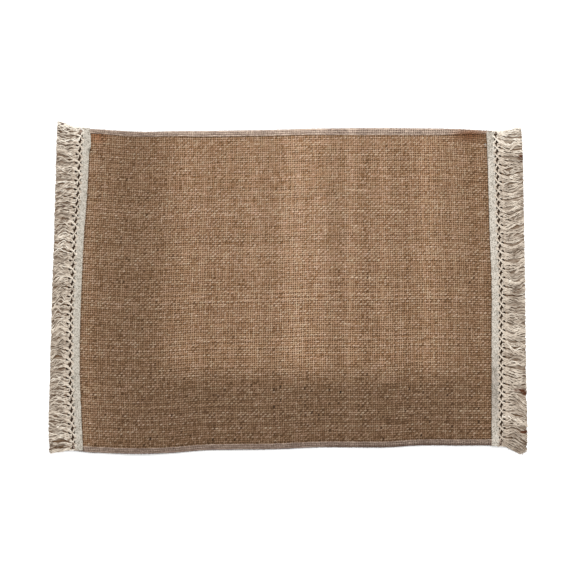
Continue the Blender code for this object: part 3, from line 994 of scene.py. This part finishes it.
def fringe_shift(trim, v, own_place, own_drift, reach):
    """How far a strand has strayed along the trim: with its neighbours, alone, and crimped."""
    free = min(max(min(v, TRIM_LENGTH - v) / END_HOLD_DEPTH, 0.0), 1.0)
    carried = 1.0 - (1.0 - min(reach / CARRY_REACH, 1.0)) ** 2
    carried -= (1.0 - trim.carry_kept) * ramp((CARRY_REACH, 1.0), reach)
    with_others = uneven(v * DRIFTS_BESIDE, reach * DRIFTS_ALONG, 2.0)
    with_others -= uneven(v * DRIFTS_BESIDE, 0.0, 2.0)
    alone = uneven(own_place, reach * DRIFTS_ALONG, 4.0)
    alone -= uneven(own_place, 0.0, 4.0)
    crimp = uneven(own_place, reach * CRIMPS_ALONG, 9.0) * min(reach * 4.0, 1.0)
    strayed = DRIFT * with_others + own_drift * alone - CARRY * carried
    return free * strayed + CRIMP * crimp


def fringe_point(trim, reach, u, v, shift):
    """A point of a strand at its own place along the trim, fanned out near the cut ends."""
    v = min(max(v, trim.first_end.margin), TRIM_LENGTH - trim.last_end.margin)
    end, far_off = from_trim_end(trim, v)
    point = on_trim(trim, reach, u, v + shift)
    fan = max(1.0 - far_off / END_LEAN_DEPTH, 0.0) ** 2
    point.y += end.lean * fan * reach ** end.power
    return point


def cut_length(trim, v):
    """Share of the full length that is left at a place, less round the corners."""
    end, far_off = from_trim_end(trim, v)
    return 1.0 - end.cut * max(1.0 - max(far_off, 0.0) / END_CUT_DEPTH, 0.0) ** 2


def top_strand_point(trim, knot, rank, own, station):
    """A point of a top strand: through its crossing, then out along the fringe."""
    strand = STRANDS[rank]
    at_knot = knot * TRIM_PITCH
    if station < OPENWORK_STATIONS:
        order = (len(strand) - 1) * station / (OPENWORK_STATIONS - 1)
        u = station_value(strand, "u", order)
        v = station_value(strand, "v", order)
        point = fringe_point(trim, 0.0, u * 0.001, at_knot + v * 0.001, 0.0)
        point.z = station_value(strand, "z", order) * 0.001
        return point, 0.0
    reach = own.length * (station - OPENWORK_STATIONS + 1) / FRINGE_STATIONS
    reach *= cut_length(trim, at_knot + TUFT_V[rank] * 0.001)
    settled = ramp(TUFTED, reach)
    along = at_knot + 0.001 * (strand[-1].v + (TUFT_V[rank] - strand[-1].v) * settled)
    shift = fringe_shift(trim, along, own.place, own.drift, reach)
    point = fringe_point(trim, reach, 0.0, along, shift)
    point.z = 0.001 * (station_value(SETTLING, "top", reach) + own.lift * reach)
    return point, reach


def patchiness(point, rates, layer):
    """Noise over the mat, with about so many patches per metre along X and Y."""
    return uneven(point.x * rates[0], point.y * rates[1], layer)


def ply_path(trim, knot, rank, own, ply):
    """One of a strand's two plies: wound about the other, and parting from it in the fringe."""
    path = []
    run = 0.0
    last = None
    end, far_off = from_trim_end(trim, knot * TRIM_PITCH)
    end_tone = 1.0 + (end.tone - 1.0) * max(1.0 - far_off / END_TONE_DEPTH, 0.0)
    for station in range(OPENWORK_STATIONS + FRINGE_STATIONS):
        point, reach = top_strand_point(trim, knot, rank, own, station)
        run += (point - last).length if last else 0.0
        last = point.copy()
        tight = 1.0 - KNOT_TIGHTNESS * math.exp(-((station - KNOT_STATION) / KNOT_REACH) ** 2)
        taper = 1.0 - TIP_TAPER * max(reach - TAPER_START, 0.0) / TAPER_RUN
        angle = math.tau * (own.turn + run / STRAND_TURN + ply / 2.0)
        wander = uneven(own.place + 7.0 * ply, reach * PLY_WANDERS, 1.0)
        offset = PLY_RADIUS * tight * math.cos(angle)
        offset += PLY_SPREAD * min(reach * 2.0, 1.0) * (ply - 0.5 + PLY_WANDER * wander)
        point.y += offset
        point.z += PLY_FLATNESS * PLY_RADIUS * tight * math.sin(angle)
        patch = patchiness(point, PATCHES, trim.side)
        patch += SMALL_PATCH_SHARE * patchiness(point, SMALL_PATCHES, trim.side)
        shade = end_tone * own.tones[ply] * (OPENWORK_TONE - FRINGE_SHADE * min(reach * 4.0, 1.0))
        # painted highlight on the knots
        shade *= 1.0 + KNOT_HIGHLIGHT * math.exp(-((station - KNOT_STATION) / HIGHLIGHT_REACH) ** 2)
        shade *= 1.0 + PATCH_TONE * patch * min(reach * 5.0, 1.0)
        path.append((point, PLY_HALF_WIDTH * own.size * tight * taper,
                     PLY_HALF_HEIGHT * taper, shade))
    return path


def top_paths(trim):
    """Every ply of the crossed cords and of the fringe's upper layer."""
    chance = random.Random(FRINGE_SEED + int(trim.side))
    paths = []
    for knot in range(TRIM_REPEATS + 1):
        for rank in range(6):
            lie = STRAY if chance.random() < STRAYS else USUAL
            own = OwnStrand(chance.uniform(0.0, NOISE_SPAN),
                            1.0 - UPPER_CUT * chance.random() ** 2,
                            lie.drift, chance.uniform(*lie.lift),
                            chance.random(), chance.uniform(*STRAND_SIZES),
                            (chance.gauss(lie.tone, trim.tone_spread),
                             chance.gauss(lie.tone, trim.tone_spread)))
            if (knot == 0 and rank in (0, 2)) or (knot == TRIM_REPEATS and rank in (3, 5)):
                continue    # past the trim's cut ends
            paths.append(ply_path(trim, knot, rank, own, 0))
            paths.append(ply_path(trim, knot, rank, own, 1))
    return paths


def lower_paths(trim):
    """The fringe's lower layer, flat on the table and darker for the shade it lies in."""
    chance = random.Random(FRINGE_SEED + 7 + int(trim.side))
    paths = []
    for strand in range(TRIM_REPEATS * LOWER_PER_REPEAT):
        own_place = chance.uniform(0.0, NOISE_SPAN)
        own_length = 1.0 - LOWER_CUT * chance.random()
        tone = max(chance.gauss(LOWER_TONE, LOWER_TONE_SPREAD), LOWER_LEAST_TONE)
        v = (strand + 0.5) * TRIM_PITCH / LOWER_PER_REPEAT
        tuck = TUCK if min(v, TRIM_LENGTH - v) > TRIM_PITCH else END_TUCK
        path = []
        for station in range(LOWER_STATIONS):
            tucked = TUCKED_STATIONS - station
            if tucked > 0:
                u = FRINGE_ROOT - tuck * tucked / TUCKED_STATIONS
                point = fringe_point(trim, 0.0, u, v, 0.0)
                point.z = TUCK_Z
            else:
                reach = own_length * (1 - tucked) / (LOWER_STATIONS - TUCKED_STATIONS)
                reach *= cut_length(trim, v)
                shift = LOWER_DRIFT * fringe_shift(trim, v, own_place, USUAL.drift, reach)
                point = fringe_point(trim, reach, 0.0, v, shift)
                point.z = 0.001 * station_value(SETTLING, "low", reach)
            patch = patchiness(point, LOWER_PATCHES, 3.0 * trim.side)
            path.append((point, LOWER_HALF_WIDTH, LOWER_HALF_HEIGHT,
                         tone * (1.0 + LOWER_PATCH_TONE * patch)))
        paths.append(path)
    return paths


def cotton_finish():
    """Unbleached cotton yarn: cream, tan in the shade, short fibres, red-brown painted shade in
    gaps.
    """
    finish = Finish("cotton yarn", 0.9)
    fibre = finish.grain(1300.0, 3.0)
    patch = finish.grain(110.0, 2.0)
    streak = finish.grain(1.0, 2.0, YARN_STREAKS)
    level = finish.attribute("tone") * (0.34 + 0.20 * fibre + 0.24 * patch + 0.40 * streak)
    colour = finish.mix(level, YARN_SHADE, CREAM)
    # painted highlight: the brightest strands run to pale cream
    colour = finish.mix(2.0 * (level - PALE_FROM), colour, PALE_CREAM)
    # painted shade in the gaps of the fringe
    for mark in SHADED_GAPS:
        colour = finish.mix(finish.marked(mark), colour, mark.colour)
    finish.coloured(colour)
    finish.relief(fibre, 0.0002)
    return finish.material


cotton_yarn = cotton_finish()
for trim in (LEFT, RIGHT):
    upper_layer = thread_tubes("cords_" + trim.hand, top_paths(trim), 4, STRAND_TONES)
    lower_layer = thread_tubes("lower_fringe_" + trim.hand, lower_paths(trim), 5, STRAND_TONES)
    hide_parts("fringe_trim_" + trim.hand)
    for layer in (upper_layer, lower_layer):
        layer.data.materials.append(cotton_yarn)
        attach(layer, "root")

# ---- Camera, floor and light -------------------------------------------------------------
# The mat is seen from almost straight above, on a plain near-white floor, under a large
# soft lamp on the far side and even light from all round.
FLOOR_COLOUR = (0.97, 0.97, 0.97, 1.0)
CAMERA_TARGET = Vector((-0.0001, -0.0018, 0.0))
CAMERA_DISTANCE = 0.7643
CAMERA_TILT = math.radians(4.0)
CAMERA_LENS = 50.0
FLOOR_SIZE = 6.0
FLOOR_DROP = 0.0002
LAMP_PLACE = Vector((0.22, 1.0, 1.3))
LAMP_SIZE = 0.7
LAMP_POWER = 19.0
SKY_STRENGTH = 1.10

camera = placed("camera", bpy.data.cameras.new("camera"))
camera.data.lens = CAMERA_LENS
camera.data.clip_start = 0.01
away = Vector((0.0, -math.sin(CAMERA_TILT), math.cos(CAMERA_TILT)))
camera.location = CAMERA_TARGET + away * CAMERA_DISTANCE
camera.rotation_euler = (-away).to_track_quat("-Z", "Y").to_euler()
bpy.context.scene.camera = camera

bm = bmesh.new()
bmesh.ops.create_grid(bm, x_segments=1, y_segments=1, size=FLOOR_SIZE / 2.0)
bmesh.ops.translate(bm, verts=bm.verts, vec=(0.0, 0.0, -FLOOR_DROP))
floor_mesh = bpy.data.meshes.new("floor")
bm.to_mesh(floor_mesh)
bm.free()
floor = placed("floor", floor_mesh)
floor_finish = Finish("pale floor", 0.9)
floor_finish.coloured(FLOOR_COLOUR)
floor.data.materials.append(floor_finish.material)

lamp = placed("lamp", bpy.data.lights.new("lamp", "AREA"))
lamp.data.shape = "DISK"
lamp.data.size = LAMP_SIZE
lamp.data.energy = LAMP_POWER
lamp.location = LAMP_PLACE
lamp.rotation_euler = (-LAMP_PLACE).to_track_quat("-Z", "Y").to_euler()

world = bpy.data.worlds.new("studio")
world.use_nodes = True
sky = world.node_tree.nodes["Background"].inputs
sky["Color"].default_value = (1.0, 1.0, 1.0, 1.0)
sky["Strength"].default_value = SKY_STRENGTH
bpy.context.scene.world = world
bpy.context.scene.view_settings.view_transform = "Standard"
